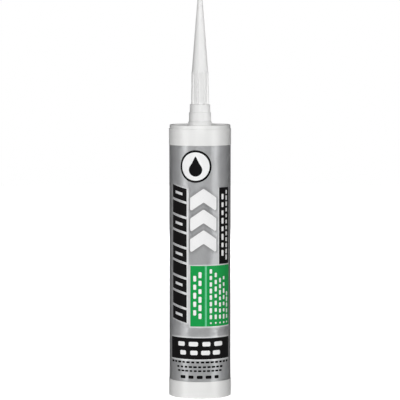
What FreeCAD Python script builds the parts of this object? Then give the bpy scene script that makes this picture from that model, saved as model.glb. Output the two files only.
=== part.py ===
import FreeCAD, Part
import math
import os

from FreeCAD import Vector

# A 300 ml sealant cartridge, in millimetres. The origin is the centre of the open rear rim,
# +Z runs along the barrel to the nozzle's tip, and the printed front faces -Y.

# Barrel, one moulding with its stepped front end and its neck
BARREL_OD = 50.0
BARREL_WALL = 1.5
BARREL_LENGTH = 216.0
EDGE_BEVEL = 0.3
STEP_INSET = 0.5
STEP_HEIGHT = 3.2
STEP_BEVEL = 0.6
FACE_RIM_WIDTH = 2.0
FACE_RECESS = 0.8
FRONT_WALL = 2.2

# Neck, which the nozzle screws onto: a plain land at its foot, then the thread's root
NECK_LAND_OD = 13.9
NECK_LAND_HEIGHT = 2.5
THREAD_DEPTH = 0.6
NECK_HEIGHT = 14.0
NECK_BORE = 8.4

# Seal over the neck's mouth
SEAL_THICKNESS = 0.12
SEAL_INSET = 0.3

# Nozzle: foot, two collars, ribbed grip, long cone and a tip that is still closed
CAP_CLEARANCE = 0.1
SEAT_GAP = 0.3
COLLAR_BEVEL = 0.3
FOOT_OD = 19.0
FOOT_HEIGHT = 3.1
LOWER_COLLAR_OD = 17.8
LOWER_COLLAR_HEIGHT = 7.4
UPPER_COLLAR_OD = 16.4
UPPER_COLLAR_HEIGHT = 6.5
GRIP_CORE_OD = 12.3
GRIP_HEIGHT = 25.2
GRIP_RIB_COUNT = 8
GRIP_RIB_WIDTH = 1.6
GRIP_RIB_ROOT_OD = 14.8
GRIP_RIB_END_OD = 14.0
GRIP_RIB_PHASE = -16.0
GRIP_RUN_OUT = 2.4
CONE_BASE_OD = 13.3
CONE_LENGTH = 58.6
TIP_OD = 4.1
TIP_BEVEL = 0.5
TIP_SKIN = 2.6
PASSAGE_OD = 9.0
PASSAGE_TIP_OD = 2.0

# Plunger: a cup that opens to the rear, with two wiping lips and stiffening ribs
PLUNGER_SETBACK = 19.0
PLUNGER_LENGTH = 24.0
PLUNGER_WALL = 1.4
PLUNGER_CROWN_WALL = 1.8
LIP_CLEARANCE = 0.08
LIP_HEIGHT = 2.4
LIP_RELIEF = 0.5
PLUNGER_RIB_COUNT = 6
PLUNGER_RIB_WIDTH = 1.2
PLUNGER_RIB_HEIGHT = 8.0
PLUNGER_HUB_OD = 9.0
PLUNGER_HUB_BORE = 5.0

# Sealant, which fills the barrel ahead of the plunger and the neck up to the seal
SEALANT_CLEARANCE = 0.05
CROWN_GAP = 0.3

# Label, which lies on its glue in a shallow recess of the barrel, with its ends apart at the back
LABEL_THICKNESS = 0.12
LABEL_SETBACK = 0.28
GLUE_THICKNESS = 0.06
LABEL_START = 13.6
LABEL_TO_FRONT = 13.0
LABEL_SEAM_GAP = 2.0
INK_THICKNESS = 0.05
CLEAR_COAT = 0.07

# Print on the label. Widths run round the barrel from its front line, positive to the right
# as the label is read. The lower fields are stacked up from the label's foot, and a drop is
# measured down from the label's head.
BADGE_AROUND = -3.6
BADGE_DROP = 16.4
BADGE_OD = 26.0
BADGE_LINE = 1.7
BLOCKS_LEFT = -26.3
BLOCKS_WIDTH = 15.3
BLOCKS_ABOVE_PANEL = 11.9
BLOCKS_DROP = 31.0
BLOCK_COUNT = 9
BLOCK_GAP = 1.9
BLOCK_SLANT = 3.4
BLOCK_SLOT = 2.2
CHEVRON_LEFT = -8.0
CHEVRON_WIDTH = 21.6
CHEVRON_ABOVE_GREEN = 10.2
CHEVRON_DROP = 34.0
CHEVRON_RISE = 7.5
CHEVRON_STROKE = 11.0
CHEVRON_COUNT = 3
STRIP_LEFT = 16.4
STRIP_WIDTH = 11.9
STRIP_ABOVE_GREEN = 1.0
STRIP_DROP = 33.5
GREEN_LEFT = -7.9
GREEN_WIDTH = 11.8
GREEN_RULE = 1.6
GREEN_WIDE_WIDTH = 23.8
GREEN_ABOVE_PANEL = 9.3
GREEN_HEIGHT = 48.8
LOWER_LEFT = -28.1
LOWER_WIDTH = 57.0
LOWER_ABOVE_FOOT = 18.3
LOWER_HEIGHT = 17.2
LINE_MARGIN = 3.6
LINE_HEIGHT = 2.6
BOLD_LINE_HEIGHT = 5.4
FINE_LINE_HEIGHT = 1.5
FINE_LINE_PITCH = 3.5
FINE_LINE_COUNT = 3
FOOT_LINE_ABOVE_FOOT = 2.0
FOOT_LINE_HEIGHT = 4.0
FOOT_LINE_WIDTH = 32.0

# Radii and heights that follow from the driving sizes
BARREL_R = BARREL_OD / 2
BORE_R = BARREL_R - BARREL_WALL
STEP_R = BARREL_R - STEP_INSET
LABEL_R = BARREL_R - LABEL_SETBACK
LABEL_FLOOR_R = LABEL_R - LABEL_THICKNESS - GLUE_THICKNESS
LABEL_END = BARREL_LENGTH - LABEL_TO_FRONT
RIM_TOP = BARREL_LENGTH + STEP_HEIGHT
FACE = RIM_TOP - FACE_RECESS
INNER_FACE = FACE - FRONT_WALL
NECK_LAND_R = NECK_LAND_OD / 2
NECK_ROOT_R = NECK_LAND_R - THREAD_DEPTH
NECK_BORE_R = NECK_BORE / 2
NECK_TOP = FACE + NECK_HEIGHT
CAP_BORE_R = NECK_LAND_R + CAP_CLEARANCE
SEAT = NECK_TOP + SEAL_THICKNESS + SEAT_GAP
FOOT_TOP = FACE + FOOT_HEIGHT
LOWER_COLLAR_TOP = FOOT_TOP + LOWER_COLLAR_HEIGHT
UPPER_COLLAR_TOP = LOWER_COLLAR_TOP + UPPER_COLLAR_HEIGHT
GRIP_TOP = UPPER_COLLAR_TOP + GRIP_HEIGHT
TIP = GRIP_TOP + CONE_LENGTH
LIP_R = BORE_R - LIP_CLEARANCE
SKIRT_R = LIP_R - LIP_RELIEF
CUP_R = SKIRT_R - PLUNGER_WALL
PLUNGER_TOP = PLUNGER_SETBACK + PLUNGER_LENGTH
LOWER_START = LABEL_START + LOWER_ABOVE_FOOT
LOWER_END = LOWER_START + LOWER_HEIGHT
GREEN_START = LOWER_END + GREEN_ABOVE_PANEL
GREEN_END = GREEN_START + GREEN_HEIGHT
BADGE_UP = LABEL_END - BADGE_DROP
AXIS = Vector(0, 0, 1)
CENTRE = Vector(0, 0, 0)


def outline(corners):
    """Face in the XZ plane from (x, z) corners, or (x, z, bevel) where one is cut off."""
    points = []
    for index, corner in enumerate(corners):
        point = Vector(corner[0], 0, corner[1])
        if len(corner) == 2:
            points.append(point)
            continue
        for neighbour in (corners[index - 1], corners[(index + 1) % len(corners)]):
            away = Vector(neighbour[0], 0, neighbour[1]) - point
            points.append(point + away.normalize() * corner[2])
    return Part.Face(Part.makePolygon(points + points[:1]))


def turned(corners):
    """Solid of revolution about the barrel's axis."""
    return outline(corners).revolve(CENTRE, AXIS, 360)


def pattern(shape, count, phase=0.0):
    """Copies of a shape, evenly spaced round the axis."""
    copies = []
    for index in range(count):
        copy = shape.copy()
        copy.rotate(CENTRE, AXIS, phase + index * 360.0 / count)
        copies.append(copy)
    return copies


def radial_rib(corners, width):
    """Rib of even width that stands on the +X side, from its outline in the XZ plane."""
    rib = outline(corners).extrude(Vector(0, width, 0))
    rib.translate(Vector(0, -width / 2, 0))
    return rib


def label_ring(inner_r, outer_r):
    """Open ring as tall as the label, with the seam's gap centred at the back."""
    gap_angle = math.degrees(LABEL_SEAM_GAP / BARREL_R)
    section = outline([
        (inner_r, LABEL_START),
        (outer_r, LABEL_START),
        (outer_r, LABEL_END),
        (inner_r, LABEL_END),
    ])
    ring = section.revolve(CENTRE, AXIS, 360 - gap_angle)
    ring.rotate(CENTRE, AXIS, 90 + gap_angle / 2)
    return ring


def make_label():
    """Label film in the barrel's recess."""
    return label_ring(LABEL_R - LABEL_THICKNESS, LABEL_R)


def make_cartridge():
    """Barrel, stepped front end with its raised rim, and hollow neck, as one moulding."""
    body = turned([
        (BORE_R, 0),
        (BARREL_R, 0, EDGE_BEVEL),
        (BARREL_R, BARREL_LENGTH, EDGE_BEVEL),
        (STEP_R, BARREL_LENGTH),
        (STEP_R, RIM_TOP, STEP_BEVEL),
        (STEP_R - FACE_RIM_WIDTH, RIM_TOP),
        (STEP_R - FACE_RIM_WIDTH, FACE),
        (NECK_LAND_R, FACE),
        (NECK_LAND_R, FACE + NECK_LAND_HEIGHT),
        (NECK_ROOT_R, FACE + NECK_LAND_HEIGHT),
        (NECK_ROOT_R, NECK_TOP),
        (NECK_BORE_R, NECK_TOP),
        (NECK_BORE_R, INNER_FACE),
        (BORE_R, INNER_FACE),
    ])
    return body.cut(label_ring(LABEL_FLOOR_R, BARREL_R))


def make_seal():
    """Thin disc across the neck's mouth, pierced through the nozzle before first use."""
    disc_r = NECK_ROOT_R - SEAL_INSET
    return Part.makeCylinder(disc_r, SEAL_THICKNESS, Vector(0, 0, NECK_TOP), AXIS)


def cone_radius(height):
    """Outer radius of the nozzle's cone at a height above the rear rim."""
    share = (height - GRIP_TOP) / CONE_LENGTH
    return (CONE_BASE_OD + (TIP_OD - CONE_BASE_OD) * share) / 2


def make_nozzle():
    """Screw-on nozzle with a hollow cone, whose ribs run out into the cone."""
    body = turned([
        (CAP_BORE_R, FACE),
        (FOOT_OD / 2, FACE),
        (FOOT_OD / 2, FOOT_TOP, COLLAR_BEVEL),
        (LOWER_COLLAR_OD / 2, FOOT_TOP),
        (LOWER_COLLAR_OD / 2, LOWER_COLLAR_TOP, COLLAR_BEVEL),
        (UPPER_COLLAR_OD / 2, LOWER_COLLAR_TOP),
        (UPPER_COLLAR_OD / 2, UPPER_COLLAR_TOP, COLLAR_BEVEL),
        (GRIP_CORE_OD / 2, UPPER_COLLAR_TOP),
        (GRIP_CORE_OD / 2, GRIP_TOP),
        (CONE_BASE_OD / 2, GRIP_TOP),
        (TIP_OD / 2, TIP, TIP_BEVEL),
        (0, TIP),
        (0, TIP - TIP_SKIN),
        (PASSAGE_TIP_OD / 2, TIP - TIP_SKIN),
        (PASSAGE_OD / 2, GRIP_TOP),
        (PASSAGE_OD / 2, SEAT),
        (CAP_BORE_R, SEAT),
    ])
    root_r = (GRIP_CORE_OD / 2 + PASSAGE_OD / 2) / 2
    run_out_end = GRIP_TOP + GRIP_RUN_OUT
    rib = radial_rib([
        (root_r, UPPER_COLLAR_TOP),
        (GRIP_RIB_ROOT_OD / 2, UPPER_COLLAR_TOP),
        (GRIP_RIB_END_OD / 2, GRIP_TOP),
        (cone_radius(run_out_end), run_out_end),
        (root_r, run_out_end),
    ], GRIP_RIB_WIDTH)
    ribs = pattern(rib, GRIP_RIB_COUNT, GRIP_RIB_PHASE - 90)
    return body.fuse(ribs).removeSplitter()


def make_plunger():
    """Cup with a flat crown, wiping lips at both ends, and ribs round a hub inside."""
    crown_inside = PLUNGER_TOP - PLUNGER_CROWN_WALL
    cup = turned([
        (CUP_R, PLUNGER_SETBACK),
        (LIP_R, PLUNGER_SETBACK),
        (LIP_R, PLUNGER_SETBACK + LIP_HEIGHT),
        (SKIRT_R, PLUNGER_SETBACK + LIP_HEIGHT + LIP_RELIEF),
        (SKIRT_R, PLUNGER_TOP - LIP_HEIGHT - LIP_RELIEF),
        (LIP_R, PLUNGER_TOP - LIP_HEIGHT),
        (LIP_R, PLUNGER_TOP),
        (0, PLUNGER_TOP),
        (0, crown_inside),
        (CUP_R, crown_inside),
    ])
    hub_start = crown_inside - PLUNGER_RIB_HEIGHT
    hub = turned([
        (PLUNGER_HUB_BORE / 2, hub_start),
        (PLUNGER_HUB_OD / 2, hub_start),
        (PLUNGER_HUB_OD / 2, crown_inside),
        (PLUNGER_HUB_BORE / 2, crown_inside),
    ])
    rib_root = (PLUNGER_HUB_BORE + PLUNGER_HUB_OD) / 4
    rib_end = CUP_R + PLUNGER_WALL / 2
    rib_top = crown_inside + PLUNGER_CROWN_WALL / 2
    rib = radial_rib([
        (rib_root, hub_start),
        (rib_end, hub_start),
        (rib_end, rib_top),
        (rib_root, rib_top),
    ], PLUNGER_RIB_WIDTH)
    return cup.fuse([hub] + pattern(rib, PLUNGER_RIB_COUNT)).removeSplitter()


def make_sealant():
    """Filling of the barrel from the plunger's crown to the front end, and of the neck."""
    fill_r = BORE_R - SEALANT_CLEARANCE
    neck_r = NECK_BORE_R - SEALANT_CLEARANCE
    front = INNER_FACE - SEALANT_CLEARANCE
    return turned([
        (0, PLUNGER_TOP + CROWN_GAP),
        (fill_r, PLUNGER_TOP + CROWN_GAP),
        (fill_r, front),
        (neck_r, front),
        (neck_r, NECK_TOP - SEALANT_CLEARANCE),
        (0, NECK_TOP - SEALANT_CLEARANCE),
    ])


def across(around):
    """Sideways place, seen from the front, of a distance measured round the label."""
    return LABEL_R * math.sin(around / LABEL_R)


def field(corners):
    """Flat outline of a printed field, from (around, up) corners."""
    return outline([(across(around), up) for around, up in corners])


def bar(left, width, start, height):
    """Printed rectangle with level and upright sides."""
    return field([
        (left, start),
        (left + width, start),
        (left + width, start + height),
        (left, start + height),
    ])


def printed(outlines, layer=0):
    """Ink of one layer over its clear coat, cut from a thin shell by flat outlines."""
    inner_r = LABEL_R + CLEAR_COAT + layer * (INK_THICKNESS + CLEAR_COAT)
    shell = label_ring(inner_r, inner_r + INK_THICKNESS)
    prisms = [outline.extrude(Vector(0, -BARREL_OD, 0)) for outline in outlines]
    return Part.makeCompound([shell.common(prism) for prism in prisms])


def badge_disc(radius):
    """Round field centred on the badge's place."""
    centre = Vector(across(BADGE_AROUND), 0, BADGE_UP)
    circle = Part.Circle(centre, Vector(0, 1, 0), radius).toShape()
    return Part.Face(Part.Wire(circle))


def slanted(left, right, start, end):
    """Parallelogram whose left side stands higher by the blocks' slant."""
    slope = BLOCK_SLANT / BLOCKS_WIDTH
    lift_left = (BLOCKS_LEFT + BLOCKS_WIDTH - left) * slope
    lift_right = (BLOCKS_LEFT + BLOCKS_WIDTH - right) * slope
    return field([
        (left, start + lift_left),
        (right, start + lift_right),
        (right, end + lift_right),
        (left, end + lift_left),
    ])


def block_column():
    """Column of slanted blocks up the left; every second one has a slot."""
    right = BLOCKS_LEFT + BLOCKS_WIDTH
    foot = LOWER_END + BLOCKS_ABOVE_PANEL
    head = LABEL_END - BLOCKS_DROP
    pitch = (head - foot - BLOCK_SLANT + BLOCK_GAP) / BLOCK_COUNT
    blocks = []
    for index in range(BLOCK_COUNT):
        start = foot + index * pitch
        end = start + pitch - BLOCK_GAP
        block = slanted(BLOCKS_LEFT, right, start, end)
        if index % 2 == 0:
            middle = (start + end) / 2
            slot = slanted(
                BLOCKS_LEFT + BLOCKS_WIDTH / 4,
                right - BLOCKS_WIDTH / 4,
                middle - BLOCK_SLOT / 2,
                middle + BLOCK_SLOT / 2,
            )
            block = block.cut(slot)
        blocks.append(block)
    return blocks


def chevrons():
    """Large chevrons that point to the nozzle."""
    right = CHEVRON_LEFT + CHEVRON_WIDTH
    middle = CHEVRON_LEFT + CHEVRON_WIDTH / 2
    foot = GREEN_END + CHEVRON_ABOVE_GREEN
    last = LABEL_END - CHEVRON_DROP - CHEVRON_RISE - CHEVRON_STROKE
    pitch = (last - foot) / (CHEVRON_COUNT - 1)
    fields = []
    for index in range(CHEVRON_COUNT):
        start = foot + index * pitch
        fields.append(field([
            (CHEVRON_LEFT, start),
            (middle, start + CHEVRON_RISE),
            (right, start),
            (right, start + CHEVRON_STROKE),
            (middle, start + CHEVRON_RISE + CHEVRON_STROKE),
            (CHEVRON_LEFT, start + CHEVRON_STROKE),
        ]))
    return fields


def side_strip():
    """Narrow strip up the right of the label."""
    start = GREEN_END + STRIP_ABOVE_GREEN
    return bar(STRIP_LEFT, STRIP_WIDTH, start, LABEL_END - STRIP_DROP - start)


def fine_lines():
    """Fine lines under the lower panel, and a bolder one at the label's foot."""
    lines = []
    for index in range(FINE_LINE_COUNT):
        top = LOWER_START - (index + 0.3) * FINE_LINE_PITCH
        lines.append(bar(LOWER_LEFT, LOWER_WIDTH, top - FINE_LINE_HEIGHT, FINE_LINE_HEIGHT))
    foot_left = LOWER_LEFT + (LOWER_WIDTH - FOOT_LINE_WIDTH) / 2
    foot_start = LABEL_START + FOOT_LINE_ABOVE_FOOT
    lines.append(bar(foot_left, FOOT_LINE_WIDTH, foot_start, FOOT_LINE_HEIGHT))
    return lines


def panel_lines():
    """Lines on the panels: upright on the green ones, level on the lower one."""
    height = GREEN_HEIGHT - 2 * LINE_MARGIN
    start = GREEN_START + LINE_MARGIN
    wide_left = GREEN_LEFT + GREEN_WIDTH + GREEN_RULE
    lines = []
    for left, width, count in ((GREEN_LEFT, GREEN_WIDTH, 2), (wide_left, GREEN_WIDE_WIDTH, 5)):
        pitch = width / count
        for index in range(count):
            centre = left + (index + 0.5) * pitch
            lines.append(bar(centre - LINE_HEIGHT / 2, LINE_HEIGHT, start, height))
    line_left = LOWER_LEFT + 2 * LINE_MARGIN
    line_width = LOWER_WIDTH - 4 * LINE_MARGIN
    row = LOWER_HEIGHT / 2
    for index in range(2):
        centre = LOWER_START + (index + 0.5) * row
        lines.append(bar(line_left, line_width, centre - BOLD_LINE_HEIGHT / 2, BOLD_LINE_HEIGHT))
    return lines


def print_black():
    """Black ink: the badge's ground, the blocks, the strip, the lower panel and fine lines."""
    lower_panel = bar(LOWER_LEFT, LOWER_WIDTH, LOWER_START, LOWER_HEIGHT)
    badge_ground = badge_disc(BADGE_OD / 2)
    return printed([badge_ground, lower_panel, side_strip()] + block_column() + fine_lines())


def print_green():
    """Green ink: two panels side by side."""
    wide_left = GREEN_LEFT + GREEN_WIDTH + GREEN_RULE
    return printed([
        bar(GREEN_LEFT, GREEN_WIDTH, GREEN_START, GREEN_HEIGHT),
        bar(wide_left, GREEN_WIDE_WIDTH, GREEN_START, GREEN_HEIGHT),
    ])


def print_white():
    """White ink, over the others: the badge's face, the chevrons and the panels' lines."""
    badge_face = badge_disc(BADGE_OD / 2 - BADGE_LINE)
    return printed([badge_face] + chevrons() + panel_lines(), layer=1)


# Each piece is one file, named as a person would name it
PIECES = {
    "cartridge": make_cartridge,
    "nozzle": make_nozzle,
    "foil_seal": make_seal,
    "sealant": make_sealant,
    "plunger": make_plunger,
    "label": make_label,
    "print_black": print_black,
    "print_green": print_green,
    "print_white": print_white,
}

os.makedirs("parts", exist_ok=True)
for name, make in PIECES.items():
    shape = make()
    shape.exportStep("parts/" + name + ".step")
    print(name, "valid" if shape.isValid() else "NOT VALID", len(shape.Solids), "solids",
          round(shape.Volume / 1000, 2), "ml")
print("plunger travel", round(INNER_FACE - PLUNGER_TOP - CROWN_GAP, 2), "mm")
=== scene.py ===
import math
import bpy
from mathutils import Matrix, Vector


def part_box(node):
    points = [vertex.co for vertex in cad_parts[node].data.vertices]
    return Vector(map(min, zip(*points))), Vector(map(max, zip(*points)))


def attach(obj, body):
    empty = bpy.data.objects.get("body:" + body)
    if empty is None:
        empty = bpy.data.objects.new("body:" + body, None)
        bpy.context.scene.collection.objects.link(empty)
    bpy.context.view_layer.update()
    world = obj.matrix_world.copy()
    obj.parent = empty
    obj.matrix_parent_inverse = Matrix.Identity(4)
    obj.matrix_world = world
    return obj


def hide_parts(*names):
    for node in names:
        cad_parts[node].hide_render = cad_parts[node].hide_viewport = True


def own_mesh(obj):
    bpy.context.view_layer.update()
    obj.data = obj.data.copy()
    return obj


bl_info = {
    "name": "Caulk Tube",
    "version": (1, 0, 0),
    "blender": (4, 5, 0),
    "location": "3D View > Sidebar > Caulk Tube",
    "description": "Finished pieces of a sealant cartridge, built round its frame",
    "category": "Object",
}

import bmesh
import bpy
import numpy as np
from bpy.props import FloatProperty, FloatVectorProperty, IntProperty, PointerProperty
from mathutils import Vector

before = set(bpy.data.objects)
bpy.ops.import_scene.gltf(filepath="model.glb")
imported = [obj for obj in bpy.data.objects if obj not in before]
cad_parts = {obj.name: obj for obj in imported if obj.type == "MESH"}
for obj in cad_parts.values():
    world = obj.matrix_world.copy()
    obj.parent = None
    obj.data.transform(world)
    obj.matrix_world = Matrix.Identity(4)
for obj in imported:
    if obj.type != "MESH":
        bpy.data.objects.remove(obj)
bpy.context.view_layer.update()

# The frame's boxes, in metres: the axis is Z and the printed front faces -Y
BARREL_LOW, BARREL_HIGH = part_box("cartridge")
LABEL_LOW, LABEL_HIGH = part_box("label")
NOZZLE_LOW, NOZZLE_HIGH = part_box("nozzle")
PLUNGER_LOW, PLUNGER_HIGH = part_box("plunger")
SEAL_LOW, SEAL_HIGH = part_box("foil_seal")
SEALANT_LOW, SEALANT_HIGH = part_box("sealant")
BARREL_R = BARREL_HIGH.x
LABEL_R = LABEL_HIGH.x
FACE = NOZZLE_LOW.z
MM = 0.001


def length(name, default, description):
    """Property for a length, with its default in millimetres."""
    return FloatProperty(
        name=name,
        description=description,
        default=default * MM,
        min=0.0,
        precision=5,
        unit="LENGTH",
    )


def share(name, default, description):
    """Property for a value from none to all."""
    return FloatProperty(name=name, description=description, default=default, min=0.0, max=1.0)


def count(name, default, description):
    """Property for a whole number of copies."""
    return IntProperty(name=name, description=description, default=default, min=1)


def turn(name, default, description):
    """Property for an angle, with its default in degrees."""
    return FloatProperty(
        name=name, description=description, default=math.radians(default), unit="ROTATION"
    )


def colour(name, default, description):
    """Property for a linear colour."""
    return FloatVectorProperty(
        name=name, description=description, default=default, size=3, min=0.0, max=1.0, subtype="COLOR"
    )


def power(name, default, description):
    """Property for a light's power or strength."""
    return FloatProperty(name=name, description=description, default=default, min=0.0)


class BarrelSettings(bpy.types.PropertyGroup):
    """Barrel with its stepped front end and its neck."""

    wall: length("Wall", 1.5, "Thickness of the barrel's wall")
    front_wall: length("Front wall", 2.2, "Thickness of the wall that carries the neck")
    step_inset: length("Step inset", 0.5, "How much narrower the front end's step is")
    step_height: length("Step height", 3.2, "Height of the front end's step")
    rim_width: length("Rim width", 2.0, "Width of the raised rim round the front face")
    face_recess: length("Face recess", 0.8, "Depth of the front face below its rim")
    film_recess: length("Label recess", 0.46, "Depth of the label's recess")
    neck_land: length("Neck land", 6.95, "Radius of the plain land at the neck's foot")
    neck_root: length("Thread root", 6.35, "Radius of the neck at the thread's root")
    neck_bore: length("Neck bore", 4.2, "Radius of the neck's bore")
    land_height: length("Land height", 2.5, "Height of the plain land")
    thread_pitch: length("Thread pitch", 3.0, "Rise of the neck's thread in one turn")
    thread_turns: FloatProperty(
        name="Thread turns", description="Turns of the neck's thread", default=2.6, min=0.5
    )
    white: colour("Plastic", (0.80, 0.80, 0.79), "Colour of the moulded polyethylene")


class NozzleSettings(bpy.types.PropertyGroup):
    """Screw-on nozzle with a ribbed grip and a long cone."""

    foot_height: length("Foot height", 3.1, "Height of the foot")
    lower_collar: length("Lower collar", 8.9, "Radius of the lower collar")
    lower_height: length("Lower collar height", 7.4, "Height of the lower collar")
    upper_collar: length("Upper collar", 8.2, "Radius of the upper collar")
    upper_height: length("Upper collar height", 6.5, "Height of the upper collar")
    grip_core: length("Grip core", 6.15, "Radius between the grip's ribs")
    grip_height: length("Grip height", 25.2, "Height of the grip")
    rib_count: count("Ribs", 8, "Number of grip ribs")
    rib_width: length("Rib width", 1.6, "Width of a grip rib")
    rib_root: length("Rib foot", 7.4, "Radius of the ribs' crests at their foot")
    rib_end: length("Rib head", 7.0, "Radius of the ribs' crests at their head")
    rib_phase: turn("Rib phase", -16.0, "Place of the first rib round the axis from the front")
    run_out: length("Run-out", 2.4, "Height over which the ribs run out into the cone")
    cone_base: length("Cone base", 6.65, "Radius of the cone at its foot")
    tip_radius: length("Tip", 2.05, "Radius of the closed tip")
    tip_skin: length("Tip skin", 2.6, "Thickness of the skin that closes the tip")
    seat: length("Seat", 14.42, "Height of the cap's bore above its foot")
    passage: length("Passage", 4.5, "Radius of the passage at the cone's foot")
    passage_tip: length("Passage tip", 1.0, "Radius of the passage under the tip")
    white: colour("Plastic", (0.75, 0.75, 0.745), "Colour of the nozzle's polyethylene")


class PlungerSettings(bpy.types.PropertyGroup):
    """Cup with wiping lips that pushes the sealant."""

    wall: length("Wall", 1.4, "Thickness of the cup's wall")
    crown_wall: length("Crown wall", 1.8, "Thickness of the crown")
    lip_height: length("Lip height", 2.4, "Height of a wiping lip")
    lip_relief: length("Lip relief", 0.5, "How far the skirt lies behind the lips")
    hub_radius: length("Hub", 4.5, "Radius of the hub under the crown")
    hub_bore: length("Hub bore", 2.5, "Radius of the hub's bore")
    rib_count: count("Ribs", 6, "Number of stiffening ribs")
    rib_width: length("Rib width", 1.2, "Width of a stiffening rib")
    rib_height: length("Rib height", 8.0, "Height of a stiffening rib")
    natural: colour("Plastic", (0.78, 0.78, 0.76), "Colour of the plunger's polyethylene")


class FillingSettings(bpy.types.PropertyGroup):
    """Sealant, and the foil that closes the neck."""

    neck_length: length("Neck fill", 16.0, "Length of the sealant that stands in the neck")
    neck_radius: length("Neck fill radius", 4.15, "Radius of the sealant in the neck")
    paste: colour("Sealant", (0.85, 0.85, 0.83), "Colour of the paste")
    foil: colour("Foil", (0.78, 0.78, 0.79), "Colour of the foil seal")


class LabelSettings(bpy.types.PropertyGroup):
    """Silver label and the colours printed on it."""

    film: length("Film", 0.12, "Thickness of the label film")
    seam_gap: length("Seam gap", 2.0, "Gap between the label's ends at the back")
    ink: length("Ink", 0.05, "Thickness of a printed field")
    coat: length("Clear coat", 0.07, "Clear layer under each ink")
    silver: colour("Silver", (0.52, 0.525, 0.532), "Colour of the silver film")
    light: colour("Light silver", (0.58, 0.585, 0.59), "Colour of the thin light lines")
    black: colour("Black", (0.003, 0.0026, 0.003), "Colour of the black ink")
    white: colour("White", (0.86, 0.86, 0.86), "Colour of the white ink")
    green: colour("Green", (0.003, 0.300, 0.058), "Colour of the green ink")
    light_green: colour("Light green", (0.08, 0.49, 0.235), "Colour of the rule between panels")
    words_seed: IntProperty(name="Seed", description="Seed of the word bars", default=4)


class StageSettings(bpy.types.PropertyGroup):
    """Camera, floor and lights."""

    camera_distance: length("Camera distance", 1819.0, "Camera in front of the axis")
    camera_height: length("Camera height", 293.4, "Camera above the floor")
    camera_dip: turn("Camera dip", 4.254, "How far the camera looks down")
    camera_lens: FloatProperty(
        name="Lens", description="Focal length in millimetres", default=203.4, unit="CAMERA"
    )
    key: power("Key", 82.0, "Power of the large light in front")
    strips: power("Strips", 4.2, "Power of each tall strip light at the sides")
    back: power("Back", 12.0, "Power of each light behind, which only brightens the back")
    below: power("Below", 14.0, "Power of the light under the floor, for the open rear end")
    nozzle_fill: power("Nozzle fill", 2.5, "Power of the light at the right of the nozzle alone")
    ambient: share("Ambient", 0.06, "Light from all round on matt surfaces")
    surround: share("Surround", 0.75, "Brightness of what glossy surfaces mirror beside the lights")


def settings():
    """This scene's own sizes and colours."""
    return bpy.context.scene.caulk_tube


SOCKET_KINDS = {float: "Float", int: "Int", tuple: "Color"}


def output(source):
    """A socket or value as it is, or a node's first output."""
    return source.outputs[0] if isinstance(source, bpy.types.Node) else source


def add(tree, kind, inputs=None, **options):
    """New node whose inputs are given a value or linked from another node or socket."""
    made = tree.nodes.new(kind)
    for key, value in options.items():
        setattr(made, key, value)
    for key, source in (inputs or {}).items():
        value = output(source)
        if isinstance(value, bpy.types.NodeSocket):
            tree.links.new(value, made.inputs[key])
        else:
            made.inputs[key].default_value = value
    return made


def calc(tree, operation, *values):
    """Result of a math node."""
    return output(add(tree, "ShaderNodeMath", dict(enumerate(values)), operation=operation))


def eased(tree, value, start, end, low=0.0, high=1.0):
    """Smooth change from low to high of a value between two limits."""
    limits = {"Value": value, "From Min": start, "From Max": end, "To Min": low, "To Max": high}
    made = add(tree, "ShaderNodeMapRange", limits, interpolation_type="SMOOTHSTEP")
    return made.outputs["Result"]


def noise(tree, place, scale, detail):
    """Strength of a noise pattern."""
    pattern = {"Vector": place, "Scale": scale, "Detail": detail}
    return output(add(tree, "ShaderNodeTexNoise", pattern))


def mixed(tree, amount, first, second):
    """Colour between two others."""
    colours = {0: amount, 6: first, 7: second}
    return add(tree, "ShaderNodeMix", colours, data_type="RGBA").outputs[2]


def vector(tree, x=0.0, y=0.0, z=0.0):
    """Vector from its three parts."""
    return output(add(tree, "ShaderNodeCombineXYZ", {0: x, 1: y, 2: z}))


def new_tree(name, kind, inputs, outputs):
    """Empty node group with named sockets, and the sockets of its input and output nodes.

    A socket's kind follows from its default, or from its own name where it has none.
    """
    tree = bpy.data.node_groups.new(name, kind)
    for in_out, sockets in (("INPUT", inputs), ("OUTPUT", outputs)):
        for label, default in sockets.items():
            socket_type = "NodeSocket" + SOCKET_KINDS.get(type(default), label)
            socket = tree.interface.new_socket(label, in_out=in_out, socket_type=socket_type)
            if default is not None:
                socket.default_value = default
    return tree, tree.nodes.new("NodeGroupInput").outputs, tree.nodes.new("NodeGroupOutput").inputs


def surface_tree(name, inputs):
    """Empty shader group that puts out a surface's colour, roughness and height."""
    outputs = {"Colour": (0.0, 0.0, 0.0, 1.0), "Roughness": 0.0, "Height": 0.0}
    return new_tree(name, "ShaderNodeTree", inputs, outputs)


def finish_surface(tree, given, result, tint, duller, height):
    """Links what a surface group puts out, and makes it duller where its marks are."""
    change = calc(tree, "MULTIPLY", given["Gloss Change"], duller)
    tree.links.new(tint, result["Colour"])
    tree.links.new(calc(tree, "ADD", given["Roughness"], change), result["Roughness"])
    tree.links.new(height, result["Height"])
    return tree


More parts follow.
